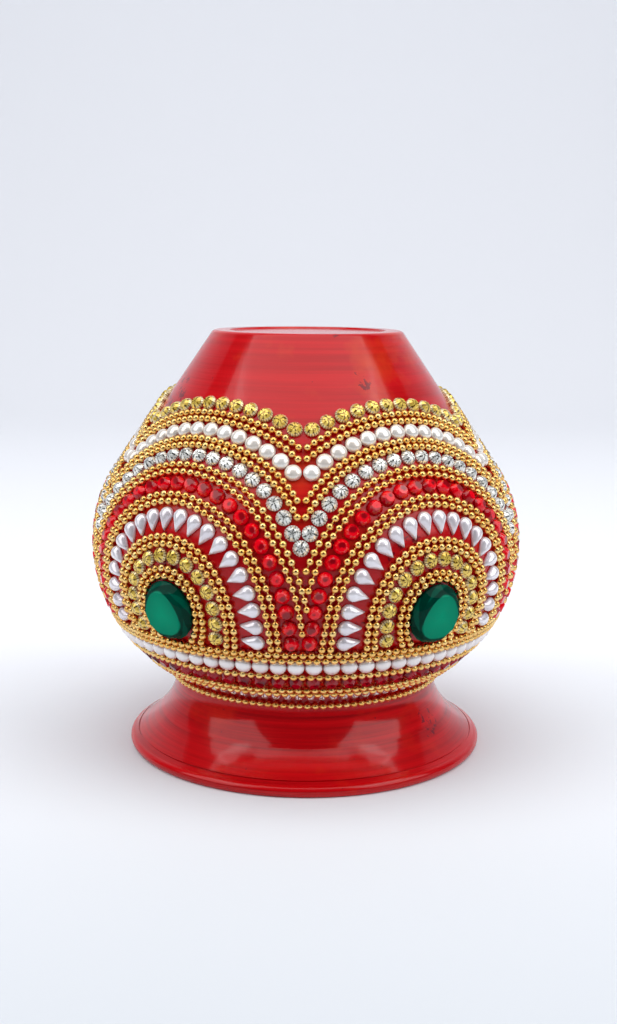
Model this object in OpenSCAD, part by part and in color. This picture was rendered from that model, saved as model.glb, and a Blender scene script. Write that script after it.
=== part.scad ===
// Decorated lota (kalash pot), resting mouth down: three spun brass shells, lacquered red,
// with strands of ball chain, half pearls and flat-backed stones glued round the belly.
// Millimetres. +Z is up, the mouth rim stands on z = 0, and azimuth 0 is the -Y side.

/* [Pot] */
// Height from the mouth rim to the base disc
pot_h = 129; // [121:1:135]
// Largest radius of the bare belly
belly_r = 64.4; // [62:0.2:67]
// Height of the widest line
belly_z = 64.5; // [63:0.5:66]
// Profile radius of the belly above the widest line
upper_arc_r = 40; // [38:0.5:42]
// Profile radius of the belly below the widest line
lower_arc_r = 44.6; // [43:0.2:46]
// Slope of the straight cone below the base disc, in degrees from vertical
cone_tilt = 34.25; // [32:0.25:36]
// Sheet thickness
wall = 1; // [0.8:0.1:1.4]

/* [Mouth] */
// Smallest outer radius of the neck
neck_r = 40.4; // [39.6:0.2:41.2]
// Height of the narrowest line of the neck
neck_z = 24; // [23.4:0.2:24.6]
// Profile radius of the hollow curve of the neck
neck_arc_r = 20.2; // [19:0.2:21]
// Profile radius of the flare below the neck
flare_arc_r = 36; // [34:1:38]
// Slope where the neck curve becomes the flare, in degrees from vertical
neck_end_tilt = 40; // [38:0.5:41]
// Slope of the flare at the lip, in degrees from vertical
lip_tilt = 56.4; // [55:0.2:58]
// Radius of the wired edge of the mouth
bead_r = 1.75; // [1.6:0.05:1.9]

/* [Base] */
// Rounding between the base disc and the cone
base_round = 1.8; // [1.2:0.1:2.2]
// Radius of the shallow recess in the base disc
recess_r = 24; // [20:0.5:25]
// Depth of the recess
recess_d = 0.5; // [0.2:0.1:0.6]
// Thickness of the base disc
base_t = 1.7; // [1.6:0.1:2.4]

/* [Seams] */
// Overlap of each stepped lap seam
lap = 2; // [1.5:0.1:2.2]

/* [Decoration] */
// Azimuth of each of the five motifs, laid by hand
motif_az = [-36.3, 34, 106.4, 178.9, 251.3];
// Height of the centre of every motif
motif_z = 54.5; // [53:0.5:56]
// How much taller than round the rows are below their centre
tuck = 1.25; // [1.1:0.05:1.4]
// Diameter of the chain balls
ball_d = 2.05; // [1.8:0.05:2.1]
// Distance from one half pearl to the next
pearl_pitch = 4.95; // [4.9:0.05:5.4]
// Diameter of the half pearls
pearl_d = 4.8; // [4.4:0.1:4.8]
// Height of the half pearls
pearl_h = 2.2; // [1.8:0.1:2.3]
// Diameter of the round stones on the arches
stone_d = 4.5; // [4.2:0.1:4.6]
// Distance from one round stone to the next
stone_pitch = 4.9; // [4.8:0.1:5.6]
// Height of the round stones
stone_h = 2; // [1.6:0.1:2.2]
// Length of the teardrop pearls
drop_l = 6.8; // [6.4:0.1:6.9]
// Width of the teardrop pearls
drop_d = 4.4; // [4:0.1:4.6]
// Distance from one teardrop pearl to the next
drop_pitch = 5.1; // [4.9:0.1:5.6]
// Width of the oval gems
gem_w = 16.2; // [15:0.2:16.6]
// Height of the oval gems along the pot
gem_l = 17.8; // [16:0.2:18]
// Thickness of the oval gems
gem_t = 4; // [3:0.2:4.2]

/* [Arch rows, radius from the motif's centre] */
// Chain touching the gem
chain_1_r = 9.1; // [9:0.1:9.3]
// Second chain round the gem
chain_2_r = 11.1; // [11:0.1:11.3]
// Inner row of gold stones
gold_inner_r = 14.6; // [14.5:0.1:14.7]
// First chain inside the teardrops
chain_3_r = 17.8; // [17.7:0.1:17.9]
// Second chain inside the teardrops
chain_4_r = 19.8; // [19.8:0.1:20]
// Row of teardrop pearls
drops_r = 24.4; // [24.3:0.1:24.5]
// First chain inside the red stones
chain_5_r = 28.7; // [28.7:0.1:28.8]
// Second chain inside the red stones
chain_6_r = 30.6; // [30.5:0.1:30.7]
// Row of red stones
red_r = 33.5; // [33.4:0.1:33.6]
// First chain outside the red stones
chain_7_r = 36.3; // [36.2:0.1:36.4]
// Second chain outside the red stones
chain_8_r = 38.2; // [38.1:0.1:38.3]
// Row of clear stones
clear_r = 41; // [40.9:0.1:41.1]
// First chain inside the half pearls
chain_9_r = 43.4; // [43.3:0.1:43.5]
// Second chain inside the half pearls
chain_10_r = 45.1; // [45:0.1:45.2]
// Row of half pearls
pearls_r = 47.7; // [47.6:0.1:47.8]
// First chain outside the half pearls
chain_11_r = 50.3; // [50.2:0.1:50.4]
// Second chain outside the half pearls
chain_12_r = 52.1; // [52:0.1:52.2]
// Outer row of gold stones
gold_outer_r = 54.8; // [54.7:0.1:55]

/* [Band rows, height on the bare wall] */
// Chain round the neck, just under the crease
band_chain_1_z = 22.6; // [22.4:0.1:22.8]
// Row of small crystals
crystals_z = 26.9; // [26.8:0.1:27]
// First chain between the crystals and the red stones
band_chain_2_z = 28.9; // [28.8:0.1:29]
// Second chain between them
band_chain_3_z = 30.7; // [30.6:0.1:30.8]
// Row of dark red stones
band_red_z = 33.4; // [33.3:0.1:33.5]
// Chain between the red stones and the half pearls
band_chain_4_z = 36.2; // [36.1:0.1:36.3]
// Row of half pearls
band_pearls_z = 39.1; // [39:0.1:39.2]
// First chain above the half pearls
band_chain_5_z = 42; // [41.9:0.1:42.1]
// Second chain above the half pearls
band_chain_6_z = 43.8; // [43.7:0.1:43.9]
// Number of half pearls in the band
band_pearl_n = 72; // [60:1:73]
// Number of dark red stones in the band
band_red_n = 66; // [50:1:68]
// Diameter of the dark red stones
band_red_d = 4.5; // [4:0.1:4.6]
// Number of small crystals in the band
crystal_n = 84; // [60:1:86]
// Diameter of the small crystals
crystal_d = 2.7; // [2.4:0.1:2.8]

/* [Hidden] */
$fn = 72;
lacquer = [0.68, 0.02, 0.05];
gold = [0.88, 0.64, 0.27];
pearl = [0.93, 0.9, 0.87];
far = 200;

// Profile centres and the points where one curve runs into the next
upper_c = [belly_r - upper_arc_r, belly_z];
lower_c = [belly_r - lower_arc_r, belly_z];
cone_z = belly_z + upper_arc_r * sin(cone_tilt);
cone_r = upper_c.x + upper_arc_r * cos(cone_tilt);
neck_c = [neck_r + neck_arc_r, neck_z];
flare_c = neck_c + (flare_arc_r - neck_arc_r) * [cos(neck_end_tilt), sin(neck_end_tilt)];
// The lip line runs on straight from the end of the flare, a touch steeper, into the wired edge
lip_slope = lip_tilt + 1.2;
lip_start = flare_c - flare_arc_r * [cos(lip_tilt), sin(lip_tilt)];
lip_out = [cos(lip_slope), sin(lip_slope)];
bead_proud = 0.08;
bead_foot = 0.15;
bead_reach = bead_r - bead_proud;
bead_z = bead_r - bead_foot;
lip_drop = lip_start.y - bead_z - bead_reach * lip_out.y;
bead_c = [lip_start.x + lip_drop * tan(lip_slope) - bead_reach * lip_out.x, bead_z];
hem_groove_w = 0.5;
hem_groove_d = 0.3;
// How far neighbouring parts of the profile run into each other
blend = 1;

// ---- Places on the bare wall ----
function neck_r_at(z) = neck_c.x - sqrt(max(0, pow(neck_arc_r, 2) - pow(z - neck_z, 2)));
function lower_r_at(z) = lower_c.x + sqrt(max(0, pow(lower_arc_r, 2) - pow(z - belly_z, 2)));
function upper_r_at(z) = upper_c.x + sqrt(max(0, pow(upper_arc_r, 2) - pow(z - belly_z, 2)));
function on_belly(z) = z > neck_z + neck_arc_r / 2 || lower_r_at(z) > neck_r_at(z);
function wall_r(z) = z > cone_z ? cone_r - (z - cone_z) * tan(cone_tilt)
                   : z > belly_z ? upper_r_at(z)
                   : on_belly(z) ? lower_r_at(z)
                   : neck_r_at(z);
// Upward tilt of the wall's outward normal
function wall_tilt(z) = z > cone_z ? cone_tilt
                      : z > belly_z ? asin((z - belly_z) / upper_arc_r)
                      : on_belly(z) ? asin((z - belly_z) / lower_arc_r)
                      : asin(min(1, (neck_z - z) / neck_arc_r));
function wall_point(az, z, lift) = let (r = wall_r(z) + lift * cos(wall_tilt(z)))
    [r * sin(az), -r * cos(az), z + lift * sin(wall_tilt(z))];
function wall_normal(az, z) = let (e = wall_tilt(z)) [cos(e) * sin(az), -cos(e) * cos(az), sin(e)];

// Puts children on the wall: their Z points outward, their Y up the pot
module on_wall(az, z) {
    rotate([0, 0, az]) translate([0, -wall_r(z), z]) rotate([90 - wall_tilt(z), 0, 0]) children();
}

// ---- Rows of the motifs ----
// A row is a circle in front view, drawn taller below its centre. Its angle t is 0 at the top.
motif_n = len(motif_az);
function gap_after(i) = ((motif_az[(i + 1) % motif_n] - motif_az[i] + 360) % 360) / 2;
function gap(i, side) = side > 0 ? gap_after(i) : gap_after((i + motif_n - 1) % motif_n);
function row_z(rho, t) = motif_z + rho * cos(t) * (t < 90 ? 1 : tuck);
function row_az(rho, t) = asin(min(0.99, rho * sin(t) / wall_r(row_z(rho, t))));
function row_xyz(rho, t, lift) = wall_point(row_az(rho, t), row_z(rho, t), lift);

// Table of [length along the row, t] down one flank of motif i, to the height z_end or to within
// inset of the valley between this motif and the next
t_step = 0.75;
function to_go(i, side, rho, t, inset) =
    gap(i, side) - row_az(rho, t) - asin(inset / wall_r(row_z(rho, t)));
function flank(i, side, rho, lift, inset, z_end) =
    [for (t = 0, s = 0, p = row_xyz(rho, 0, lift);
          to_go(i, side, rho, t, inset) >= 0 && row_z(rho, t) >= z_end && t < 150;
          t = t + t_step, q = row_xyz(rho, t, lift), s = s + norm(q - p), p = q) [s, t]];
function last(v) = v[len(v) - 1];

// Place at the signed length s along a row of motif i, as [azimuth, height, turn]
function row_place(i, rho, s, table) =
    let (side = sign(s), t = lookup(abs(s), table))
    [motif_az[i] + side * row_az(rho, t), row_z(rho, t), -side * (t < 90 ? t : 90 + (t - 90) * 0.7)];
// A row is filled from end to end, so its pitch stretches a little to fit
function row_places(i, rho, pitch, lift, inset, ends) =
    let (left = flank(i, -1, rho, lift, inset, ends.x),
         right = flank(i, 1, rho, lift, inset, ends.y),
         start = last(left)[0],
         total = start + last(right)[0],
         n = round(total / pitch))
    [for (k = [0 : n])
        let (s = k * total / n - start)
        row_place(i, rho, s, s < 0 ? left : right)];

// Places of a whole row on every motif. ends holds the lowest height of the left and right flank
function all_places(rho, pitch, lift, inset, ends) =
    [for (i = [0 : motif_n - 1]) each row_places(i, rho, pitch, lift, inset, ends)];

band_top = band_chain_6_z;
stone_end = band_top + ball_d / 2 + stone_d / 2;
chain_end = band_top + ball_d - 0.1;
// Rows that end at the band may cross the valley line
past_valley = -40;

// ---- Ball chain ----
// One length of chain round a motif, as a five-sided strip of the chain's width
strip_sides = 5;
strip_r = 0.9;
strip_gap = 4.6;
strip_fine = 9;
function strip_ts(table) =
    let (n = max(4, ceil(max(last(table)[0] / strip_gap, last(table)[1] / strip_fine))))
    [for (k = [0 : n]) lookup(last(table)[0] * k / n, table)];
module chain_strip(i, rho, inset, ends) {
    left = strip_ts(flank(i, -1, rho, strip_r, inset, ends.x));
    right = strip_ts(flank(i, 1, rho, strip_r, inset, ends.y));
    stops = concat([for (k = [len(left) - 1 : -1 : 1]) [-1, left[k]]], [for (t = right) [1, t]]);
    path = [for (s = stops) let (z = row_z(rho, s[1]), az = motif_az[i] + s[0] * row_az(rho, s[1]))
        [wall_point(az, z, strip_r), wall_normal(az, z)]];
    n = len(path);
    points = [for (k = [0 : n - 1])
        let (along = path[min(k + 1, n - 1)][0] - path[max(k - 1, 0)][0],
             out = path[k][1],
             side = cross(along, out) / norm(cross(along, out)))
        for (a = [0 : strip_sides - 1])
            path[k][0] + strip_r * (out * cos(a * 360 / strip_sides) + side * sin(a * 360 / strip_sides))];
    sides = [for (k = [0 : n - 2], a = [0 : strip_sides - 1])
        let (b = (a + 1) % strip_sides, lo = k * strip_sides, hi = lo + strip_sides)
        each [[lo + a, hi + a, lo + b], [lo + b, hi + a, hi + b]]];
    first_cap = [for (a = [0 : strip_sides - 1]) a];
    last_cap = [for (a = [strip_sides - 1 : -1 : 0]) (n - 1) * strip_sides + a];
    polyhedron(points, concat(sides, [first_cap, last_cap]));
}
module arch_chain(rho, inset, ends) {
    color(gold) for (i = [0 : motif_n - 1]) chain_strip(i, rho, inset, ends);
}
chain_inset = ball_d / 2 + 0.05;
// One chain lying against the wall all the way round
module band_chain(z) {
    at = wall_point(90, z, ball_d / 2);
    color(gold) rotate_extrude() translate([at.x, at.z]) circle(d = ball_d);
}

// ---- Beads and stones ----
module half_pearl() {
    flat_r = pearl_d / 2;
    dome_r = (flat_r * flat_r + pearl_h * pearl_h) / (2 * pearl_h);
    intersection() {
        translate([0, 0, pearl_h - dome_r]) sphere(dome_r);
        cylinder(r = pearl_d, h = pearl_d);
    }
}
// Flat-backed round stone: a straight girdle and a sloping crown
module round_stone(d, h) {
    girdle_h = 0.35 * h;
    cylinder(d = d, h = girdle_h);
    translate([0, 0, girdle_h]) cylinder(d1 = d, d2 = 0.55 * d, h = h - girdle_h);
}
// Flat-backed teardrop, its point towards +Y: half a turn of a round end that runs into a cone
module teardrop() {
    round_r = drop_d / 2;
    reach = drop_l - round_r;
    tip_a = asin(round_r / reach);
    translate([0, -drop_l / 2 + round_r, 0]) rotate([-90, 0, 0]) rotate([0, 0, 180])
        rotate_extrude(angle = 180) {
            intersection() {
                circle(round_r);
                translate([0, -round_r]) square([round_r, round_r * (1 + sin(tip_a))]);
            }
            polygon([[0, 0], round_r * [cos(tip_a), sin(tip_a)], [0, reach]]);
        }
}
// Oval gem: a low girdle, two rings of bevels and a wide flat table
module oval_gem() {
    gem_sides = 28;
    rings = [[1, 0], [1, 0.24], [0.86, 0.66], [0.66, 1]];
    points = [for (g = rings, a = [0 : gem_sides - 1])
        [gem_w / 2 * g[0] * cos(a * 360 / gem_sides),
         gem_l / 2 * g[0] * sin(a * 360 / gem_sides), gem_t * g[1]]];
    sides = [for (g = [0 : len(rings) - 2], a = [0 : gem_sides - 1])
        let (b = (a + 1) % gem_sides, lo = g * gem_sides, hi = lo + gem_sides)
        each [[lo + a, hi + a, lo + b], [lo + b, hi + a, hi + b]]];
    bottom = [for (a = [0 : gem_sides - 1]) a];
    table = [for (a = [gem_sides - 1 : -1 : 0]) (len(rings) - 1) * gem_sides + a];
    polyhedron(points, concat(sides, [bottom, table]));
}
module place_all(places) {
    for (p = places) on_wall(p[0], p[1]) rotate([0, 0, p[2]]) children();
}
module place_band(z, n) {
    for (k = [0 : n - 1]) on_wall((k + 0.5) * 360 / n, z) children();
}

// ---- Pot shells ----
// Half section of all that lies inside the pot's outer surface moved outward by o
module half_section(o) {
    upper = upper_arc_r + o;
    lower = lower_arc_r + o;
    slant = cone_tilt;
    top = o < 0 ? pot_h - base_t : pot_h;
    edge = max(0.3, base_round + o);
    cone_pt = upper_c + upper * [cos(slant), sin(slant)];
    cone_top_r = cone_pt.x - (top - cone_pt.y) * tan(slant);
    edge_r = cone_top_r - edge * (1 - sin(slant)) / cos(slant);
    edge_pt = [edge_r + edge * cos(slant), top - edge + edge * sin(slant)];
    // Base disc, its rounded edge and the cone
    polygon([[0, belly_z], [cone_pt.x, belly_z], cone_pt, edge_pt, [edge_r, top], [0, top]]);
    translate([edge_r, top - edge]) intersection() {
        circle(edge);
        translate([-0.01, 0]) square(edge + 0.1);
    }
    // Belly above and below the widest line
    translate(upper_c) intersection() {
        circle(upper);
        translate([0, -0.01]) square([far, upper * sin(slant) + 0.01]);
    }
    translate([0, neck_z]) square([lower_c.x, belly_z - neck_z]);
    translate(lower_c) intersection() {
        circle(lower);
        translate([0, -(belly_z - neck_z)]) square([far, belly_z - neck_z]);
    }
    // Neck curve, flare curve and the straight run to the lip
    neck_cut = neck_arc_r - o;
    flare_cut = flare_arc_r - o;
    join_z = neck_c.y - neck_cut * sin(neck_end_tilt);
    lip_z = flare_c.y - flare_cut * sin(lip_tilt);
    lip_r = flare_c.x - flare_cut * cos(lip_tilt);
    difference() {
        translate([0, join_z]) square([neck_c.x - neck_cut * cos(neck_end_tilt), neck_z + 4 - join_z]);
        translate(neck_c) circle(neck_cut);
    }
    difference() {
        translate([0, lip_z]) square([lip_r, join_z + blend - lip_z]);
        translate(flare_c) circle(flare_cut, $fn = 144);
    }
    lip_end = lip_r + (lip_z + blend) * tan(lip_slope);
    polygon([[0, -blend], [lip_end, -blend],
             [lip_r - blend * tan(lip_slope), lip_z + blend], [0, lip_z + blend]]);
}
module wall_section(outer, inner) {
    difference() {
        half_section(outer);
        half_section(inner);
    }
}
module slab(z0, z1) {
    translate([0, z0]) square([far, z1 - z0]);
}

// Closed end: base disc, cone and upper half of the belly
module base_shell() {
    over = 0.1;
    recess = [[0, pot_h - recess_d], [recess_r - recess_d, pot_h - recess_d],
              [recess_r + over, pot_h + over], [0, pot_h + over]];
    color(lacquer) rotate_extrude() difference() {
        intersection() {
            wall_section(0, -wall);
            slab(belly_z, pot_h + 1);
        }
        intersection() {
            half_section(-wall / 2);
            slab(belly_z - 1, belly_z + lap);
        }
        polygon(recess);
    }
}
// Lower half of the belly, with a stepped lap at each seam
module shoulder_shell() {
    color(lacquer) rotate_extrude() {
        difference() {
            intersection() {
                wall_section(0, -wall);
                slab(neck_z, belly_z);
            }
            intersection() {
                half_section(-wall / 2);
                slab(neck_z - 1, neck_z + lap);
            }
        }
        intersection() {
            wall_section(-wall / 2, -wall);
            slab(belly_z, belly_z + lap);
        }
    }
}
// Neck and flared mouth, with a hem groove and a wired edge
module mouth_collar() {
    color(lacquer) rotate_extrude() {
        difference() {
            union() {
                intersection() {
                    wall_section(0, -wall);
                    translate([0, bead_c.y]) square([bead_c.x + bead_reach * lip_out.x, neck_z - bead_c.y]);
                }
                intersection() {
                    translate(bead_c) circle(bead_r);
                    slab(0, 2 * bead_r);
                }
            }
            translate(lip_start) rotate(lip_slope - 90) square([hem_groove_w, 2 * hem_groove_d], center = true);
        }
        intersection() {
            wall_section(-wall / 2, -wall);
            slab(neck_z, neck_z + lap);
        }
    }
}

// ---- Bands ----
module band_chain_1() { band_chain(band_chain_1_z); }
module band_chain_2() { band_chain(band_chain_2_z); }
module band_chain_3() { band_chain(band_chain_3_z); }
module band_chain_4() { band_chain(band_chain_4_z); }
module band_chain_5() { band_chain(band_chain_5_z); }
module band_chain_6() { band_chain(band_chain_6_z); }
module band_crystals() {
    color([0.85, 0.78, 0.78]) place_band(crystals_z, crystal_n) round_stone(crystal_d, 1.5);
}
module band_red_stones() {
    color([0.45, 0, 0.06]) place_band(band_red_z, band_red_n) round_stone(band_red_d, 1.8);
}
module band_pearls() { color(pearl) place_band(band_pearls_z, band_pearl_n) half_pearl(); }

// ---- Motifs, from the gem outwards ----
to_band = [chain_end, chain_end];
to_valley = [0, 0];
// Beyond the red stones one flank stops early, where the neighbour's chain runs down the valley
chain_7_ends = [62.7, 50.5];
chain_8_ends = [67.9, 57.5];
stone_inset = stone_d / 2 + 0.05;
pearl_inset = pearl_d / 2 + 0.05;
// The lowest clear stone of a valley nestles under the two stones that end its rows
function valley_stone_z(i) =
    let (row_end = row_z(clear_r, last(flank(i, 1, clear_r, stone_h / 2, stone_inset, 0))[1]))
    row_end - (stone_d + 0.1) * cos(30) * cos(wall_tilt(row_end));

module oval_gems() {
    color([0, 0.45, 0.3]) for (az = motif_az) on_wall(az, motif_z - 0.7) oval_gem();
}
module arch_chain_1() { arch_chain(chain_1_r, past_valley, to_band); }
module arch_chain_2() { arch_chain(chain_2_r, past_valley, to_band); }
module arch_chain_3() { arch_chain(chain_3_r, past_valley, to_band); }
module arch_chain_4() { arch_chain(chain_4_r, past_valley, to_band); }
module arch_chain_5() { arch_chain(chain_5_r, past_valley, to_band); }
module arch_chain_6() { arch_chain(chain_6_r, past_valley, to_band); }
module arch_chain_7() { arch_chain(chain_7_r, past_valley, chain_7_ends); }
module arch_chain_8() { arch_chain(chain_8_r, past_valley, chain_8_ends); }
module arch_chain_9() { arch_chain(chain_9_r, chain_inset, to_valley); }
module arch_chain_10() { arch_chain(chain_10_r, chain_inset, to_valley); }
module arch_chain_11() { arch_chain(chain_11_r, chain_inset, to_valley); }
module arch_chain_12() { arch_chain(chain_12_r, chain_inset, to_valley); }
module stone_row(rho, inset, ends) {
    place_all(all_places(rho, stone_pitch, stone_h / 2, inset, ends)) round_stone(stone_d, stone_h);
}
module gold_stones_inner() {
    color([0.8, 0.68, 0.2]) stone_row(gold_inner_r, past_valley, [stone_end, stone_end]);
}
module gold_stones_outer() { color([0.85, 0.72, 0.25]) stone_row(gold_outer_r, stone_inset, to_valley); }
// Clear stones, with one more stone at the foot of each valley
module clear_stones() {
    color([0.85, 0.85, 0.82]) {
        stone_row(clear_r, stone_inset, to_valley);
        for (i = [0 : motif_n - 1])
            on_wall(motif_az[i] + gap_after(i), valley_stone_z(i)) round_stone(stone_d, stone_h);
    }
}
module arch_red_stones() { color([0.75, 0, 0.05]) stone_row(red_r, past_valley, [stone_end, stone_end]); }
module teardrop_pearls() {
    color(pearl) place_all(all_places(drops_r, drop_pitch, 1, past_valley, [stone_end, stone_end]))
        rotate([0, 0, 180]) teardrop();
}
module arch_pearls() {
    color(pearl) place_all(all_places(pearls_r, pearl_pitch, 1, pearl_inset, to_valley)) half_pearl();
}

base_shell();
shoulder_shell();
mouth_collar();
band_chain_1();
band_crystals();
band_chain_2();
band_chain_3();
band_red_stones();
band_chain_4();
band_pearls();
band_chain_5();
band_chain_6();
oval_gems();
arch_chain_1();
arch_chain_2();
gold_stones_inner();
arch_chain_3();
arch_chain_4();
teardrop_pearls();
arch_chain_5();
arch_chain_6();
arch_red_stones();
arch_chain_7();
arch_chain_8();
clear_stones();
arch_chain_9();
arch_chain_10();
arch_pearls();
arch_chain_11();
arch_chain_12();
gold_stones_outer();
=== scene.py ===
import math

import bpy
import numpy as np
from mathutils import Matrix, Vector


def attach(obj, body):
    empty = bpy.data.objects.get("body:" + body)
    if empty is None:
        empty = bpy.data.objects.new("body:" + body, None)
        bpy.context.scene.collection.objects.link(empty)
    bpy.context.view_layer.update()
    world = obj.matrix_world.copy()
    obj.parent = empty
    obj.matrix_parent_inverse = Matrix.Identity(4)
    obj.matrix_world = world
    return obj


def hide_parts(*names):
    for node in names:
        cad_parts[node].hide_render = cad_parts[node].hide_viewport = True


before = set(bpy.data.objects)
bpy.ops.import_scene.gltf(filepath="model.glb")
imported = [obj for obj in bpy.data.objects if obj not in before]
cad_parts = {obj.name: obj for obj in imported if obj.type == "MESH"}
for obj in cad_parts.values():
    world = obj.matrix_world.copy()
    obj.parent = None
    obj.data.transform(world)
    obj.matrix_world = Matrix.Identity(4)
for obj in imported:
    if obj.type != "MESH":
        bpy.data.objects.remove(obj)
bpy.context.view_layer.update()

rng = np.random.default_rng(11)

# A lacquered lota standing mouth down, with strands glued round its belly. Lengths are in
# millimetres until a mesh is made. Azimuth 0 is the -Y side. Sizes and rows are those of the CAD
# model, except that the ends of a row are found in finer steps, which moves beads by up to 0.5 mm
# and gives a motif 20 teardrops where CAD has 19. The balls are a little fuller than in CAD.
MM = 0.001
BELLY_R, BELLY_Z = 64.4, 64.5
UPPER_ARC, LOWER_ARC = 40.0, 44.6
CONE_TILT = math.radians(34.25)
NECK_R, NECK_Z, NECK_ARC = 40.4, 24.0, 20.2
MOTIF_AZ = [-36.3, 34.0, 106.4, 178.9, 251.3]
MOTIF_Z = 54.5
TUCK = 1.25
BALL_D = 2.05
STONE_D, STONE_H, STONE_PITCH = 4.5, 2.0, 4.9
PEARL_D, PEARL_H, PEARL_PITCH = 4.8, 2.2, 4.95
DROP_L, DROP_D, DROP_PITCH = 6.8, 4.4, 5.1
GEM_W, GEM_L, GEM_T = 16.2, 17.8, 4.0
POT_H, WALL, LAP = 129.0, 1.0, 2.0
BASE_ROUND, BASE_T, RECESS_R, RECESS_D = 1.8, 1.7, 24.0, 0.5
BALL_FULLNESS = 1.04

# Radius of each row of a motif from the motif's centre
GOLD_INNER_R, DROP_R, RED_R, CLEAR_R, PEARL_R, GOLD_OUTER_R = 14.6, 24.4, 33.5, 41.0, 47.7, 54.8
# Height of each row of the bands on the bare wall
CRYSTALS_Z, BAND_RED_Z, BAND_PEARLS_Z, BAND_TOP = 26.9, 33.4, 39.1, 43.8
GEM_Z = MOTIF_Z - 0.7

UPPER_C = BELLY_R - UPPER_ARC
LOWER_C = BELLY_R - LOWER_ARC
CONE_Z = BELLY_Z + UPPER_ARC * math.sin(CONE_TILT)
CONE_R = UPPER_C + UPPER_ARC * math.cos(CONE_TILT)


# ---------------------------------------------------------------- places on the bare wall
def neck_r(z):
    """Wall radius on the hollow curve of the neck."""
    return NECK_R + NECK_ARC - math.sqrt(max(0, NECK_ARC ** 2 - (z - NECK_Z) ** 2))


def lower_r(z):
    """Wall radius on the lower half of the belly."""
    return LOWER_C + math.sqrt(max(0, LOWER_ARC ** 2 - (z - BELLY_Z) ** 2))


def on_belly(z):
    """Whether a height below the widest line lies on the belly, rather than on the neck."""
    return z > NECK_Z + NECK_ARC / 2 or lower_r(z) > neck_r(z)


def wall_r(z):
    """Outer radius of the bare wall at a height."""
    if z > CONE_Z:
        return CONE_R - (z - CONE_Z) * math.tan(CONE_TILT)
    if z > BELLY_Z:
        return UPPER_C + math.sqrt(UPPER_ARC ** 2 - (z - BELLY_Z) ** 2)
    return lower_r(z) if on_belly(z) else neck_r(z)


def wall_tilt(z):
    """Angle by which the wall's normal points up from level."""
    if z > CONE_Z:
        return CONE_TILT
    if z > BELLY_Z:
        return math.asin((z - BELLY_Z) / UPPER_ARC)
    if on_belly(z):
        return math.asin((z - BELLY_Z) / LOWER_ARC)
    return math.asin(min(1, (NECK_Z - z) / NECK_ARC))


def basis(az, z):
    """Right, up and outward directions on the wall, as the columns of a matrix."""
    a, e = math.radians(az), wall_tilt(z)
    right = np.array([math.cos(a), math.sin(a), 0.0])
    out = np.array([math.cos(e) * math.sin(a), -math.cos(e) * math.cos(a), math.sin(e)])
    return np.column_stack([right, np.cross(out, right), out])


def wall_point(az, z, lift=0.0):
    """A point above the wall by lift, along the wall's normal."""
    a, r = math.radians(az), wall_r(z)
    return np.array([r * math.sin(a), -r * math.cos(a), z]) + lift * basis(az, z)[:, 2]


def seat(az, z, turn):
    """Rotation and place of a bead that sits on the wall, turned about the wall's normal."""
    c, s = math.cos(math.radians(turn)), math.sin(math.radians(turn))
    spin = np.array([[c, -s, 0], [s, c, 0], [0, 0, 1]])
    return basis(az, z) @ spin, wall_point(az, z)


# ---------------------------------------------------------------- rows of the motifs
def gap(i, side):
    """Half the angle from motif i to its neighbour on that side."""
    other = MOTIF_AZ[(i + side) % len(MOTIF_AZ)]
    return (side * (other - MOTIF_AZ[i])) % 360 / 2


def row_z(rho, t):
    """Height of a row of radius rho at the angle t, which is 0 at the top."""
    c = math.cos(math.radians(t))
    return MOTIF_Z + rho * c * (1 if t < 90 else TUCK)


def row_az(rho, t):
    """Azimuth of the same point from the motif's own azimuth."""
    across = rho * math.sin(math.radians(t))
    return math.degrees(math.asin(min(0.99, across / wall_r(row_z(rho, t)))))


def flank(i, side, rho, lift, inset, z_end):
    """Lengths and angles down one flank of a row, to the band or to the valley."""
    step, lengths, turns, last = 0.15, [], [], None
    t, s = 0.0, 0.0
    while t < 150:
        z = row_z(rho, t)
        over = row_az(rho, t) + math.degrees(math.asin(inset / wall_r(z)))
        if over > gap(i, side) or z < z_end:
            break
        p = wall_point(row_az(rho, t), z, lift)
        s += 0 if last is None else float(np.linalg.norm(p - last))
        lengths.append(s)
        turns.append(t)
        last, t = p, t + step
    return lengths, turns


def row_places(i, rho, pitch, lift, inset, ends):
    """Azimuth, height and turn of each bead of a row on motif i, filled from end to end."""
    left = flank(i, -1, rho, lift, inset, ends[0])
    right = flank(i, 1, rho, lift, inset, ends[1])
    total = left[0][-1] + right[0][-1]
    count = round(total / pitch)
    places = []
    for k in range(count + 1):
        s = k * total / count - left[0][-1]
        side, (lengths, turns) = (-1, left) if s < 0 else (1, right)
        t = float(np.interp(abs(s), lengths, turns))
        turn = t if t < 90 else 90 + (t - 90) * 0.7
        places.append((MOTIF_AZ[i] + side * row_az(rho, t), row_z(rho, t), -side * turn))
    return places


def all_places(rho, pitch, lift, inset, ends):
    """Places of one row on every motif."""
    return [p for i in range(len(MOTIF_AZ)) for p in row_places(i, rho, pitch, lift, inset, ends)]


# ---------------------------------------------------------------- meshes
def add_piece(name, mesh, nodes):
    piece = bpy.data.objects.new(name, mesh)
    bpy.context.scene.collection.objects.link(piece)
    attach(piece, "root")
    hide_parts(*nodes)
    return piece


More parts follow.
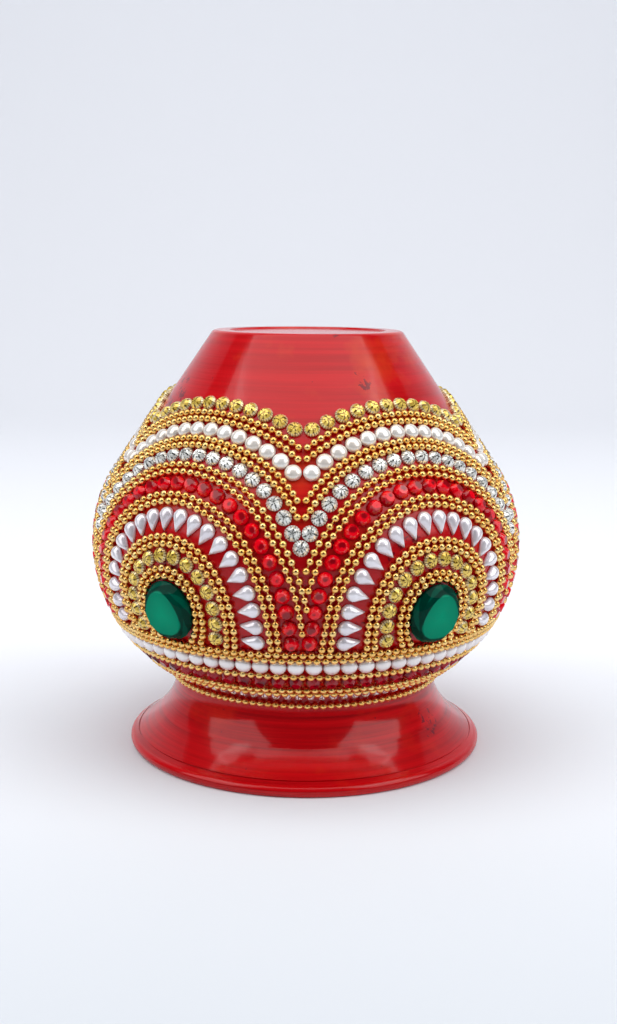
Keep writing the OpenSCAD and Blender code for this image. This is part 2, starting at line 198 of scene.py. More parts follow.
class Shape:
    """Points, faces, a local map of each point and one tone per bead, gathered into one mesh."""

    def __init__(self):
        self.points, self.faces, self.maps, self.tones, self.count = [], [], [], [], 0

    def add(self, template, turn, place, tone=0.5):
        points, faces, uv = template
        self.points.append(points @ turn.T + place)
        self.faces.extend([tuple(self.count + k for k in f) for f in faces])
        self.maps.append(uv)
        self.tones.append(np.full(len(points), tone))
        self.count += len(points)

    def build(self, name, material, nodes, smooth=True):
        """Makes the mesh and the piece that stands for the CAD nodes."""
        mesh = bpy.data.meshes.new(name)
        mesh.from_pydata((np.vstack(self.points) * MM).tolist(), [], self.faces)
        mesh.polygons.foreach_set("use_smooth", [smooth] * len(mesh.polygons))
        loops = np.empty(len(mesh.loops), int)
        mesh.loops.foreach_get("vertex_index", loops)
        layer = mesh.uv_layers.new(name="local")
        layer.data.foreach_set("uv", np.vstack(self.maps)[loops].ravel())
        tone = mesh.attributes.new("tone", "FLOAT", "POINT")
        tone.data.foreach_set("value", np.concatenate(self.tones))
        mesh.materials.append(material)
        mesh.update()
        return add_piece(name, mesh, nodes)


def rings_template(rings, scale):
    """Skins a stack of rings of equal count, closed at both ends; each ring lists (x, y, z)."""
    n = len(rings[0])
    points = np.array([p for ring in rings for p in ring], float)
    faces = []
    for k in range(len(rings) - 1):
        lo, hi = k * n, (k + 1) * n
        faces += [(lo + j, lo + (j + 1) % n, hi + (j + 1) % n, hi + j) for j in range(n)]
    faces.append(tuple(range(n))[::-1])
    faces.append(tuple((len(rings) - 1) * n + j for j in range(n)))
    return points, faces, points[:, :2] / scale


def circle(r, z, n, offset=0.0):
    """A ring of n points at the height z, started offset steps round."""
    turns = [2 * math.pi * (j + offset) / n for j in range(n)]
    return [(r * math.cos(a), r * math.sin(a), z) for a in turns]


def ball_template(r, around=14, down=9):
    """A ball whose poles lie along X, the way of the chain."""
    points = [(-r, 0, 0)]
    for k in range(1, down):
        a = math.pi * k / down
        points += [(-r * math.cos(a), r * math.sin(a) * math.cos(2 * math.pi * j / around),
                    r * math.sin(a) * math.sin(2 * math.pi * j / around)) for j in range(around)]
    points.append((r, 0, 0))
    last = len(points) - 1
    faces = [(0, 1 + (j + 1) % around, 1 + j) for j in range(around)]
    for k in range(down - 2):
        lo, hi = 1 + k * around, 1 + (k + 1) * around
        faces += [(lo + j, lo + (j + 1) % around, hi + (j + 1) % around, hi + j) for j in range(around)]
    lo = 1 + (down - 2) * around
    faces += [(last, lo + j, lo + (j + 1) % around) for j in range(around)]
    points = np.array(points)
    return points, faces, points[:, :2] / r


def link_template(r=0.24, sides=6):
    """A thin wire of length 1 along X, open at its ends, which lie inside the balls."""
    points = [(x, r * math.cos(2 * math.pi * j / sides), r * math.sin(2 * math.pi * j / sides))
              for x in (-0.5, 0.5) for j in range(sides)]
    faces = [(j, (j + 1) % sides, sides + (j + 1) % sides, sides + j) for j in range(sides)]
    points = np.array(points)
    return points, faces, points[:, :2]


def dome_template(r, h, around=26, rings=7):
    """Flat-backed half pearl: a short straight foot and a round crown."""
    foot = 0.25 * h
    stack = [circle(r * 0.97, 0, around), circle(r, foot * 0.5, around)]
    for k in range(rings):
        a = math.pi / 2 * (k + 0.6) / (rings + 0.1)
        stack.append(circle(r * math.cos(a), foot + (h - foot) * math.sin(a), around))
    return rings_template(stack, scale=r)


def drop_template(length, width, height, around=24, rings=9):
    """Flat-backed teardrop, its point towards +Y, with a rounded back edge."""
    r = width / 2
    reach = length - r
    tip = math.asin(r / reach)
    base = -length / 2 + r

    def outline(scale):
        ring = []
        for j in range(around):
            a = 2 * math.pi * j / around
            direction = np.array([math.cos(a), math.sin(a)])
            if math.sin(a) <= math.sin(tip):
                far = r
            else:
                far = r / max(1e-6, (math.cos(tip) * abs(direction[0]) + math.sin(tip) * direction[1]))
                far = min(far, reach)
            ring.append((far * scale * direction[0], base + far * scale * direction[1]))
        return ring

    stack = [[(x, y, 0) for x, y in outline(0.97)]]
    for k in range(rings):
        a = math.pi / 2 * k / (rings - 0.35)
        stack.append([(x, y, 0.2 + (height - 0.2) * math.sin(a)) for x, y in outline(math.cos(a))])
    return rings_template(stack, scale=length / 2)


def brilliant_template(d, h, table=0.5, girdle=0.35):
    """Flat-backed round stone with a cut crown: table, stars, kites and girdle facets."""
    r = d / 2
    g = girdle * h
    low = circle(r * 0.96, 0, 16)
    rim = circle(r, g, 16)
    mid = circle(r * 0.8, g + (h - g) * 0.55, 8, 0.5)
    top = circle(r * table, h, 8)
    points = np.array(low + rim + mid + top)
    rim0, mid0, top0 = 16, 32, 40
    faces = [tuple(range(16))[::-1]]
    faces += [(j, (j + 1) % 16, rim0 + (j + 1) % 16, rim0 + j) for j in range(16)]
    for k in range(8):
        here, after, before = k, (k + 1) % 8, (k - 1) % 8
        main = rim0 + 2 * k
        faces.append((top0 + here, mid0 + before, main, mid0 + here))
        faces.append((top0 + here, mid0 + here, top0 + after))
        faces.append((main, main + 1, mid0 + here))
        faces.append((main + 1, rim0 + (2 * k + 2) % 16, mid0 + here))
    faces.append(tuple(top0 + j for j in range(8)))
    return points, faces, points[:, :2] / r


def gem_template(w, length, t, sides=20):
    """Flat-backed oval stone: rounded girdle, a steep bevel, a shallow bevel and a wide table."""
    def oval(k, z, n, offset):
        return [(w / 2 * k * math.cos(2 * math.pi * (j + offset) / n),
                 length / 2 * k * math.sin(2 * math.pi * (j + offset) / n), z) for j in range(n)]

    n = sides
    half = n // 2
    low = oval(0.97, 0, n, 0)
    rim = oval(1.0, 0.22 * t, n, 0)
    mid = oval(0.9, 0.66 * t, half, 0.5)
    top = oval(0.78, t, half, 0)
    points = np.array(low + rim + mid + top)
    rim0, mid0, top0 = n, 2 * n, 2 * n + half
    faces = [tuple(range(n))[::-1]]
    faces += [(j, (j + 1) % n, rim0 + (j + 1) % n, rim0 + j) for j in range(n)]
    for k in range(half):
        here, after, before = k, (k + 1) % half, (k - 1) % half
        main = rim0 + 2 * k
        faces.append((top0 + here, mid0 + before, main, mid0 + here))
        faces.append((top0 + here, mid0 + here, top0 + after))
        faces.append((main, main + 1, mid0 + here))
        faces.append((main + 1, rim0 + (2 * k + 2) % n, mid0 + here))
    faces.append(tuple(top0 + j for j in range(half)))
    return points, faces, points[:, :2] / np.array([w / 2, length / 2])


# ---------------------------------------------------------------- materials
def new_material(name):
    """A node material, with its tree and its Principled shader."""
    material = bpy.data.materials.new(name)
    material.use_nodes = True
    tree = material.node_tree
    shader = tree.nodes["Principled BSDF"]
    return material, tree, shader


def node(tree, kind, inputs=None, **settings):
    """A new node; each input takes a link where it is given a socket, or else a value."""
    made = tree.nodes.new(kind)
    for key, value in settings.items():
        setattr(made, key, value)
    for key, value in (inputs or {}).items():
        if isinstance(value, bpy.types.NodeSocket):
            tree.links.new(value, made.inputs[key])
        else:
            made.inputs[key].default_value = value
    return made


def noise(tree, vector, scale, detail=2.0, roughness=0.5):
    return node(tree, "ShaderNodeTexNoise", {"Vector": vector, "Scale": scale, "Detail": detail,
                                             "Roughness": roughness}).outputs["Fac"]


def stretched(tree, scale):
    """Object coordinates, scaled along each axis."""
    coords = node(tree, "ShaderNodeTexCoord").outputs["Object"]
    return node(tree, "ShaderNodeMapping", {"Vector": coords, "Scale": scale}).outputs["Vector"]


def ramp(tree, fac, stops):
    """Colours along a scale, as (place, colour) pairs."""
    made = node(tree, "ShaderNodeValToRGB", {"Fac": fac})
    band = made.color_ramp
    while len(band.elements) < len(stops):
        band.elements.new(0.5)
    for element, (place, colour) in zip(band.elements, stops):
        element.position = place
        element.color = (*colour, 1)
    return made.outputs["Color"]


def mix(tree, fac, a, b):
    """Colour a turning into b as fac goes from 0 to 1."""
    made = node(tree, "ShaderNodeMix", data_type="RGBA")
    for key, value in (("Factor", fac), ("A", a), ("B", b)):
        wanted = "VALUE" if key == "Factor" else "RGBA"
        socket = [s for s in made.inputs if s.name == key and s.type == wanted][0]
        if isinstance(value, bpy.types.NodeSocket):
            tree.links.new(value, socket)
        elif key == "Factor":
            socket.default_value = value
        else:
            socket.default_value = (*value, 1)
    return [s for s in made.outputs if s.type == "RGBA"][0]


def maths(tree, operation, a, b=0.0, c=None):
    made = node(tree, "ShaderNodeMath", {0: a, 1: b}, operation=operation)
    if c is not None:
        made.inputs[2].default_value = c
    return made.outputs[0]


def bump(tree, shader, height, strength, distance):
    made = node(tree, "ShaderNodeBump", {"Height": height, "Strength": strength, "Distance": distance})
    tree.links.new(made.outputs["Normal"], shader.inputs["Normal"])


def set_sockets(shader, **values):
    for key, value in values.items():
        shader.inputs[key.replace("_", " ")].default_value = value


def link(tree, output, shader, socket):
    tree.links.new(output, shader.inputs[socket])


def lacquer_material(name, thin, usual, thick, warm_patch, sound):
    """Glossy red lacquer brushed round the pot, with warm patches, and dark chips in the spots
    where a slow noise is above sound."""
    material, tree, shader = new_material(name)
    around = noise(tree, stretched(tree, (12, 12, 700)), 1.0, 3.0, 0.6)
    fine = noise(tree, stretched(tree, (30, 30, 3200)), 1.0, 2.0, 0.5)
    patches = noise(tree, stretched(tree, (1, 1, 1)), 45.0, 4.0, 0.6)
    base = ramp(tree, around, [(0.3, thick), (0.55, usual), (0.8, thin)])
    warm = mix(tree, ramp(tree, patches, [(0.55, (0, 0, 0)), (0.75, (1, 1, 1))]), base, warm_patch)
    bits = maths(tree, "GREATER_THAN", noise(tree, stretched(tree, (1, 1, 1)), 420.0, 3.0, 0.7), 0.56)
    clusters = maths(tree, "GREATER_THAN", noise(tree, stretched(tree, (1, 1, 1)), 38.0, 1.0, 0.5), sound)
    pits = maths(tree, "GREATER_THAN", noise(tree, stretched(tree, (1, 1, 1)), 520.0, 2.0, 0.7), 0.75)
    chips = maths(tree, "MAXIMUM", maths(tree, "MULTIPLY", bits, clusters), pits)
    colour = mix(tree, maths(tree, "MULTIPLY", chips, 0.75), warm, (0.10, 0.0, 0.008))
    link(tree, colour, shader, "Base Color")
    rough = node(tree, "ShaderNodeMapRange", {"Value": around, "To Min": 0.32, "To Max": 0.5}).outputs[0]
    link(tree, rough, shader, "Roughness")
    brushed = maths(tree, "ADD", around, maths(tree, "MULTIPLY", fine, 0.5))
    bump(tree, shader, brushed, 0.2, 0.0004)
    set_sockets(shader, Specular_IOR_Level=0.05, Coat_Weight=0.75, Coat_Roughness=0.11, Coat_IOR=1.42)
    return material


def gold_chain_material():
    """Gilt balls, each of its own tone, with a little grime in patches."""
    material, tree, shader = new_material("gold_chain")
    tone = node(tree, "ShaderNodeAttribute", attribute_name="tone").outputs["Fac"]
    base = ramp(tree, tone, [(0.0, (0.95, 0.56, 0.16)), (0.5, (1.0, 0.64, 0.21)),
                             (1.0, (1.0, 0.72, 0.30))])
    grime = noise(tree, stretched(tree, (1, 1, 1)), 900.0, 3.0, 0.6)
    soiled = ramp(tree, grime, [(0.35, (0.4, 0.4, 0.4)), (0.6, (0, 0, 0))])
    colour = mix(tree, soiled, base, (0.62, 0.30, 0.06))
    link(tree, colour, shader, "Base Color")
    rough = node(tree, "ShaderNodeMapRange", {"Value": grime, "To Min": 0.34, "To Max": 0.2}).outputs[0]
    link(tree, rough, shader, "Roughness")
    bump(tree, shader, noise(tree, stretched(tree, (1, 1, 1)), 1800.0, 2.0, 0.5), 0.1, 0.0001)
    set_sockets(shader, Metallic=1.0)
    return material


def pearl_material(name, warm, cool):
    """Satin pearl under a clear coat, clouded between a warm and a cool white."""
    material, tree, shader = new_material(name)
    tone = node(tree, "ShaderNodeAttribute", attribute_name="tone").outputs["Fac"]
    cloud = noise(tree, stretched(tree, (1, 1, 1)), 380.0, 3.0, 0.55)
    fac = maths(tree, "ADD", maths(tree, "MULTIPLY", tone, 0.5), maths(tree, "MULTIPLY", cloud, 0.5))
    link(tree, ramp(tree, fac, [(0.25, warm), (0.75, cool)]), shader, "Base Color")
    rough = node(tree, "ShaderNodeMapRange", {"Value": cloud, "To Min": 0.16, "To Max": 0.28}).outputs[0]
    link(tree, rough, shader, "Roughness")
    bump(tree, shader, cloud, 0.06, 0.0002)
    set_sockets(shader, Metallic=0.35, Coat_Weight=0.9, Coat_Roughness=0.07)
    return material


def polar(tree):
    """Radius and turn of a point on its stone, from the stone's own map."""
    uv = node(tree, "ShaderNodeUVMap", uv_map="local").outputs["UV"]
    split = node(tree, "ShaderNodeSeparateXYZ", {0: uv})
    x, y = split.outputs[0], split.outputs[1]
    radius = node(tree, "ShaderNodeVectorMath", {0: uv}, operation="LENGTH").outputs["Value"]
    return radius, maths(tree, "ARCTAN2", y, x)


def brilliant_material(name, bright, middle, dark, rim, metallic):
    """Foil-backed stone with its sparkle painted in: painted shards of reflection flash light and dark
    round a painted dark heart, inside a notched pale rim.
    """
    material, tree, shader = new_material(name)
    radius, turn = polar(tree)
    tone = node(tree, "ShaderNodeAttribute", attribute_name="tone").outputs["Fac"]
    phase = maths(tree, "MULTIPLY", tone, 6.28)
    # Painted reflections: light and dark shards turn round the stone like facet flashes, with painted
    # glints over them.
    shards = maths(tree, "SINE", maths(tree, "ADD", maths(tree, "MULTIPLY", turn, 8.0),
                                       maths(tree, "MULTIPLY", radius, 2.0)))
    counter = maths(tree, "SINE", maths(tree, "SUBTRACT", maths(tree, "MULTIPLY", turn, 5.0), phase))
    flash_noise = noise(tree, stretched(tree, (1, 1, 1)), 1900.0, 1.0, 0.6)
    painted_glints = maths(tree, "MULTIPLY", maths(tree, "SUBTRACT", flash_noise, 0.5), 1.3)
    total = maths(tree, "ADD", maths(tree, "MULTIPLY", shards, 0.22),
                  maths(tree, "MULTIPLY", counter, 0.16))
    total = maths(tree, "ADD", total, painted_glints)
    # Painted dark reflection: a smooth minimum of the radius darkens the heart of the stone.
    total = maths(tree, "ADD", total, maths(tree, "SMOOTH_MIN", radius, 0.3, 0.1))
    total = maths(tree, "ADD", total, 0.28)
    body = ramp(tree, total, [(0.31, dark), (0.45, middle), (0.62, bright)])
    notches = maths(tree, "SINE", maths(tree, "MULTIPLY", turn, 18.0))
    edge = ramp(tree, maths(tree, "MULTIPLY_ADD", notches, 0.5, 0.5), [(0.04, dark), (0.2, rim)])
    colour = mix(tree, ramp(tree, radius, [(0.8, (0, 0, 0)), (0.84, (1, 1, 1))]), body, edge)
    link(tree, colour, shader, "Base Color")
    set_sockets(shader, Metallic=metallic, Roughness=0.25, Coat_Weight=0.6, Coat_Roughness=0.05)
    return material


def coloured_stone_material(name, bright, deep, edge):
    """Clear coloured stone over foil, with its light painted in: a painted dark middle, a painted brighter
    ring near the rim and a painted lit crescent on one side.
    """
    material, tree, shader = new_material(name)
    radius, turn = polar(tree)
    tone = node(tree, "ShaderNodeAttribute", attribute_name="tone").outputs["Fac"]
    # Painted light: the colour runs brighter on one side of each stone and darker on the other, as a lit
    # crescent.
    painted_crescent = maths(tree, "MULTIPLY", maths(tree, "SINE", maths(tree, "ADD", turn, 0.9)), 0.3)
    flash_noise = noise(tree, stretched(tree, (1, 1, 1)), 600.0, 2.0, 0.6)
    fac = maths(tree, "ADD", maths(tree, "SUBTRACT", radius, painted_crescent),
                maths(tree, "MULTIPLY", maths(tree, "SUBTRACT", flash_noise, 0.5), 0.8))
    fac = maths(tree, "ADD", fac, maths(tree, "MULTIPLY", maths(tree, "SUBTRACT", tone, 0.5), 0.8))
    # Painted shade in the middle and a painted bright ring towards the rim; the noise and the tone only
    # mottle it.
    colour = ramp(tree, fac, [(0.05, deep), (0.42, bright), (0.9, bright), (1.0, edge)])
    link(tree, colour, shader, "Base Color")
    set_sockets(shader, Roughness=0.2, Specular_IOR_Level=0.2, Coat_Weight=0.6, Coat_Roughness=0.04)
    return material


def gem_material():
    """Green oval with painted light: a brighter table over bright foil, falling dark at its edge, with
    bevels painted dark round it and striped with painted reflections.
    """
    material, tree, shader = new_material("green_stone")
    radius, turn = polar(tree)
    cloud = noise(tree, stretched(tree, (1, 1, 1)), 110.0, 2.0, 0.5)
    wobble = maths(tree, "MULTIPLY", maths(tree, "SINE", maths(tree, "MULTIPLY", turn, 3.0)), 0.05)
    fac = maths(tree, "ADD", radius, wobble)
    # Painted shade: the colour falls from a brighter middle to near black at the table's edge.
    body = ramp(tree, fac, [(0.0, (0.0, 0.30, 0.16)), (0.72, (0.0, 0.22, 0.12)),
                            (0.76, (0.0, 0.02, 0.014))])
    # Painted reflections: dark and less dark stripes across the bevels stand in for facet flashes.
    slant = maths(tree, "MULTIPLY", radius, 26.0)
    facets = maths(tree, "SINE", maths(tree, "ADD", maths(tree, "MULTIPLY", turn, 5.0), slant))
    bevel = ramp(tree, facets, [(0.1, (0.0, 0.014, 0.010)), (0.5, (0.0, 0.055, 0.034))])
    body = mix(tree, ramp(tree, radius, [(0.84, (0, 0, 0)), (0.86, (1, 1, 1))]), body, bevel)
    colour = mix(tree, maths(tree, "MULTIPLY", cloud, 0.3), body, (0.0, 0.12, 0.065))
    link(tree, colour, shader, "Base Color")
    set_sockets(shader, Roughness=0.2, Coat_Weight=0.12, Coat_Roughness=0.03, Specular_IOR_Level=0.0)
    return material


CONE_SOUND, FOOT_SOUND = 0.62, 0.72
lacquer = lacquer_material("red_lacquer", (0.60, 0.003, 0.006), (0.50, 0.001, 0.004),
                           (0.40, 0.0, 0.002), (0.55, 0.03, 0.004), CONE_SOUND)
# Painted shade: a second, more saturated lacquer with darker thick streaks goes on the mouth collar,
# standing in for the shade the belly casts on the foot.
shaded_foot_lacquer = lacquer_material("shaded_foot_lacquer", (0.66, 0.001, 0.005), (0.54, 0.0, 0.003),
                                (0.32, 0.0, 0.002), (0.58, 0.012, 0.003), FOOT_SOUND)
gold = gold_chain_material()
pearl = pearl_material("round_pearl", (0.84, 0.76, 0.68), (0.92, 0.89, 0.84))
band_pearl = pearl_material("band_pearl", (0.82, 0.75, 0.73), (0.90, 0.87, 0.87))
drop_pearl = pearl_material("teardrop_pearl", (0.78, 0.72, 0.76), (0.88, 0.85, 0.89))
FOIL = 0.45
clear = brilliant_material("clear_stone", (0.93, 0.93, 0.88), (0.50, 0.50, 0.46),
                           (0.05, 0.05, 0.05), (0.90, 0.88, 0.82), FOIL)
small_clear = brilliant_material("small_crystal", (0.90, 0.75, 0.72), (0.45, 0.25, 0.22),
                                 (0.10, 0.02, 0.02), (0.75, 0.55, 0.50), FOIL)
gold_stone = brilliant_material("gold_stone", (0.92, 0.66, 0.12), (0.60, 0.36, 0.03),
                                (0.10, 0.05, 0.004), (0.86, 0.72, 0.40), FOIL)
red_stone = coloured_stone_material("red_stone", (0.78, 0.0, 0.008), (0.24, 0.0, 0.004),
                                    (0.40, 0.0, 0.006))
dark_red = coloured_stone_material("dark_red_stone", (0.36, 0.0, 0.008), (0.10, 0.0, 0.004),
                                   (0.18, 0.0, 0.004))
green = gem_material()

# ---------------------------------------------------------------- pot
for name, coat in (("shoulder_shell", lacquer), ("mouth_collar", shaded_foot_lacquer)):
    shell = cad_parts[name]
    shell.data.materials.clear()
    shell.data.materials.append(coat)


def arc(centre, radius, start, end, steps):
    """Points (r, z) along a profile arc, with angles in degrees."""
    turns = [math.radians(start + (end - start) * k / steps) for k in range(steps + 1)]
    return [(centre[0] + radius * math.cos(a), centre[1] + radius * math.sin(a)) for a in turns]


def base_profile():
    """Half section of the closed end, from the seam up the outside and back down the inside."""
    slope = math.tan(CONE_TILT)
    cone_top = CONE_R - (POT_H - CONE_Z) * slope
    corner = cone_top - BASE_ROUND * (1 - math.sin(CONE_TILT)) / math.cos(CONE_TILT)
    tilt = math.degrees(CONE_TILT)
    inner = UPPER_ARC - WALL
    inner_end = (UPPER_C + inner * math.cos(CONE_TILT), BELLY_Z + inner * math.sin(CONE_TILT))
    disc_z = POT_H - BASE_T
    lap_z = BELLY_Z + LAP
    step = UPPER_ARC - WALL / 2
    profile = [(UPPER_C + step, BELLY_Z)]
    profile += arc((UPPER_C, BELLY_Z), UPPER_ARC, 0, tilt, 16)
    profile += arc((corner, POT_H - BASE_ROUND), BASE_ROUND, tilt, 90, 8)
    recess_z = POT_H - RECESS_D
    profile += [(corner - 0.2, POT_H), (RECESS_R, POT_H), (RECESS_R - RECESS_D, recess_z)]
    profile += [(0, recess_z), (0, disc_z)]
    profile += [(inner_end[0] - (disc_z - inner_end[1]) * slope, disc_z)]
    low = math.degrees(math.asin(LAP / inner))
    profile += arc((UPPER_C, BELLY_Z), inner, tilt, low, 14)
    profile += [(UPPER_C + math.sqrt(step ** 2 - LAP ** 2), lap_z)]
    return profile


def lathe(name, profile, material, nodes, around=192):
    """Spins a closed half section into a shell; points on the axis stay single."""
    points, rings = [], []
    for r, z in profile:
        if r == 0:
            rings.append([len(points)] * around)
            points.append((0, 0, z * MM))
        else:
            rings.append(list(range(len(points), len(points) + around)))
            points += [(x * MM, y * MM, z * MM) for x, y, z in circle(r, z, around)]
    faces = []
    for k, ring in enumerate(rings):
        above = rings[(k + 1) % len(rings)]
        for j in range(around):
            corners = [ring[j], ring[(j + 1) % around], above[(j + 1) % around], above[j]]
            face = list(dict.fromkeys(corners))
            if len(face) > 2:
                faces.append(face)
    mesh = bpy.data.meshes.new(name)
    mesh.from_pydata(points, [], faces)
    mesh.polygons.foreach_set("use_smooth", [True] * len(faces))
    mesh.set_sharp_from_angle(angle=math.radians(25))
    mesh.materials.append(material)
    mesh.update()
    return add_piece(name, mesh, nodes)


lathe("base_shell_spun", base_profile(), lacquer, ["base_shell"])

# ---------------------------------------------------------------- ball chain
BALL = ball_template(BALL_D / 2 * BALL_FULLNESS)
LINK = link_template()


def chain(shape, path, outs, closed=False):
    """Strings balls on the points of path, with a wire link between neighbours."""
    n = len(path)
    for k in range(n):
        after = path[(k + 1) % n] if closed or k < n - 1 else path[k]
        before = path[k - 1] if closed or k > 0 else path[k]
        along = (after - before) / np.linalg.norm(after - before)
        out = outs[k] - along * np.dot(outs[k], along)
        out /= np.linalg.norm(out)
        turn = np.column_stack([along, np.cross(out, along), out])
        size = 1 + rng.uniform(-0.02, 0.02)
        shape.add(BALL, turn * size, path[k], rng.uniform())
        if closed or k < n - 1:
            step = after - path[k]
            length = np.linalg.norm(step)
            way = step / length
            side = np.cross(outs[k], way)
            side /= np.linalg.norm(side)
            wire = np.column_stack([way * length, side, np.cross(way, side)])
            shape.add(LINK, wire, (path[k] + after) / 2, 0.2)


def arch_chain(name, rho, pitch, inset, ends):
    """One chain of every motif, wandering a little as a hand-laid one does."""
    shape = Shape()
    for i in range(len(MOTIF_AZ)):
        places = row_places(i, rho, pitch, BALL_D / 2, inset, ends)
        wave = rng.uniform(0, 6.28)
        path, outs = [], []
        for k, (az, z, turn) in enumerate(places):
            drift = 0.10 * math.sin(wave + k * 0.55) + rng.normal(0, 0.035)
            direction = basis(az, z)
            side = math.radians(turn)
            radial = direction[:, 0] * -math.sin(side) + direction[:, 1] * math.cos(side)
            path.append(wall_point(az, z, BALL_D / 2 + rng.normal(0, 0.02)) + radial * drift)
            outs.append(direction[:, 2])
        chain(shape, path, outs)
    return shape.build(name, gold, [name])


def band_chain(name, z, pitch):
    """A closed chain round the pot."""
    count = round(2 * math.pi * (wall_r(z) + 1) / pitch)
    start, wave = rng.uniform(0, 360), rng.uniform(0, 6.28)
    path, outs = [], []
    for k in range(count):
        az = start + k * 360 / count
        low = z + 0.08 * math.sin(wave + k * 0.35) + rng.normal(0, 0.03)
        path.append(wall_point(az, low, BALL_D / 2))
        outs.append(basis(az, low)[:, 2])
    shape = Shape()
    chain(shape, path, outs, closed=True)
    return shape.build(name, gold, [name])


CHAIN_END = BAND_TOP + BALL_D - 0.1
STONE_END = BAND_TOP + BALL_D / 2 + STONE_D / 2
PAST_VALLEY = -40.0
CHAIN_INSET = BALL_D / 2 + 0.05
TO_BAND = (CHAIN_END, CHAIN_END)
TO_VALLEY = (0, 0)
PAST_7 = (62.7, 50.5)
PAST_8 = (67.9, 57.5)
ARCH_CHAINS = (
    (9.1, 2.45, PAST_VALLEY, TO_BAND), (11.1, 2.45, PAST_VALLEY, TO_BAND),
    (17.8, 2.45, PAST_VALLEY, TO_BAND), (19.8, 2.5, PAST_VALLEY, TO_BAND),
    (28.7, 2.65, PAST_VALLEY, TO_BAND), (30.6, 2.65, PAST_VALLEY, TO_BAND),
    (36.3, 2.7, PAST_VALLEY, PAST_7), (38.2, 2.7, PAST_VALLEY, PAST_8),
    (43.4, 2.35, CHAIN_INSET, TO_VALLEY), (45.1, 2.35, CHAIN_INSET, TO_VALLEY),
    (50.3, 2.3, CHAIN_INSET, TO_VALLEY), (52.1, 2.3, CHAIN_INSET, TO_VALLEY))
BAND_CHAINS = ((22.6, 2.3), (28.9, 2.35), (30.7, 2.35), (36.2, 2.42), (42.0, 2.42), (BAND_TOP, 2.42))
for count, (rho, pitch, inset, ends) in enumerate(ARCH_CHAINS, 1):
    arch_chain(f"arch_chain_{count}", rho, pitch, inset, ends)
for count, (z, pitch) in enumerate(BAND_CHAINS, 1):
    band_chain(f"band_chain_{count}", z, pitch)


# ---------------------------------------------------------------- stones and pearls
def beads(name, template, places, material, smooth=False, lean=2.5, swing=6.0):
    """Sets one bead at each place, each a little askew as hand-laid beads are."""
    shape = Shape()
    for az, z, turn in places:
        turned, place = seat(az, z, turn + rng.normal(0, swing))
        nod = Matrix.Rotation(math.radians(rng.normal(0, lean)), 3, "X")
        tip = Matrix.Rotation(math.radians(rng.normal(0, lean)), 3, "Y")
        shape.add(template, turned @ np.array(nod @ tip), place, rng.uniform())
    return shape.build(name, material, [name], smooth)


def band_places(z, count):
    """Evenly spaced places right round the pot."""
    return [((k + 0.5) * 360 / count, z, 0.0) for k in range(count)]


STONE_INSET = STONE_D / 2 + 0.05
PEARL_INSET = PEARL_D / 2 + 0.05


def valley_stone_z(i):
    """The lowest clear stone of a valley nestles under the two stones that end its rows."""
    row_end = row_z(CLEAR_R, flank(i, 1, CLEAR_R, STONE_H / 2, STONE_INSET, 0)[1][-1])
    return row_end - (STONE_D + 0.1) * math.cos(math.radians(30)) * math.cos(wall_tilt(row_end))


def stones_to_band(rho, pitch, lift):
    """Places of a row that runs down both flanks to the band."""
    return all_places(rho, pitch, lift, PAST_VALLEY, (STONE_END, STONE_END))


BRILLIANT = brilliant_template(STONE_D, STONE_H)
RED = brilliant_template(STONE_D, STONE_H, table=0.58, girdle=0.3)
BAND_RED = brilliant_template(4.5, 1.8, table=0.58, girdle=0.3)
CRYSTAL = brilliant_template(2.7, 1.5)
HALF_PEARL = dome_template(PEARL_D / 2, PEARL_H)
DROP = drop_template(DROP_L, DROP_D, DROP_D / 2)
GEM = gem_template(GEM_W, GEM_L, GEM_T)

valley = [(MOTIF_AZ[i] + gap(i, 1), valley_stone_z(i), 0.0) for i in range(len(MOTIF_AZ))]
outer = all_places(GOLD_OUTER_R, STONE_PITCH, STONE_H / 2, STONE_INSET, TO_VALLEY)
clears = all_places(CLEAR_R, STONE_PITCH, STONE_H / 2, STONE_INSET, TO_VALLEY) + valley
pearls = all_places(PEARL_R, PEARL_PITCH, 1, PEARL_INSET, TO_VALLEY)
drops = [(az, z, turn + 180) for az, z, turn in stones_to_band(DROP_R, DROP_PITCH, 1)]
gems = [(az, GEM_Z, 0.0) for az in MOTIF_AZ]

beads("gold_stones_inner", BRILLIANT, stones_to_band(GOLD_INNER_R, STONE_PITCH, STONE_H / 2),
      gold_stone, swing=20)
beads("gold_stones_outer", BRILLIANT, outer, gold_stone, swing=20)
beads("clear_stones", BRILLIANT, clears, clear, swing=20)
# The red stones barely swing, so their painted lit crescents all face one way.
beads("arch_red_stones", RED, stones_to_band(RED_R, STONE_PITCH, STONE_H / 2), red_stone,
      swing=0.5)
beads("band_red_stones", BAND_RED, band_places(BAND_RED_Z, 66), dark_red, swing=0.5)
beads("band_crystals", CRYSTAL, band_places(CRYSTALS_Z, 84), small_clear, swing=20)
beads("band_pearls", HALF_PEARL, band_places(BAND_PEARLS_Z, 72), band_pearl, smooth=True, lean=1.5)
beads("arch_pearls", HALF_PEARL, pearls, pearl, smooth=True, lean=1.5)
beads("teardrop_pearls", DROP, drops, drop_pearl, smooth=True, lean=1.5, swing=3.0)
beads("oval_gems", GEM, gems, green, lean=0.0, swing=0.0)


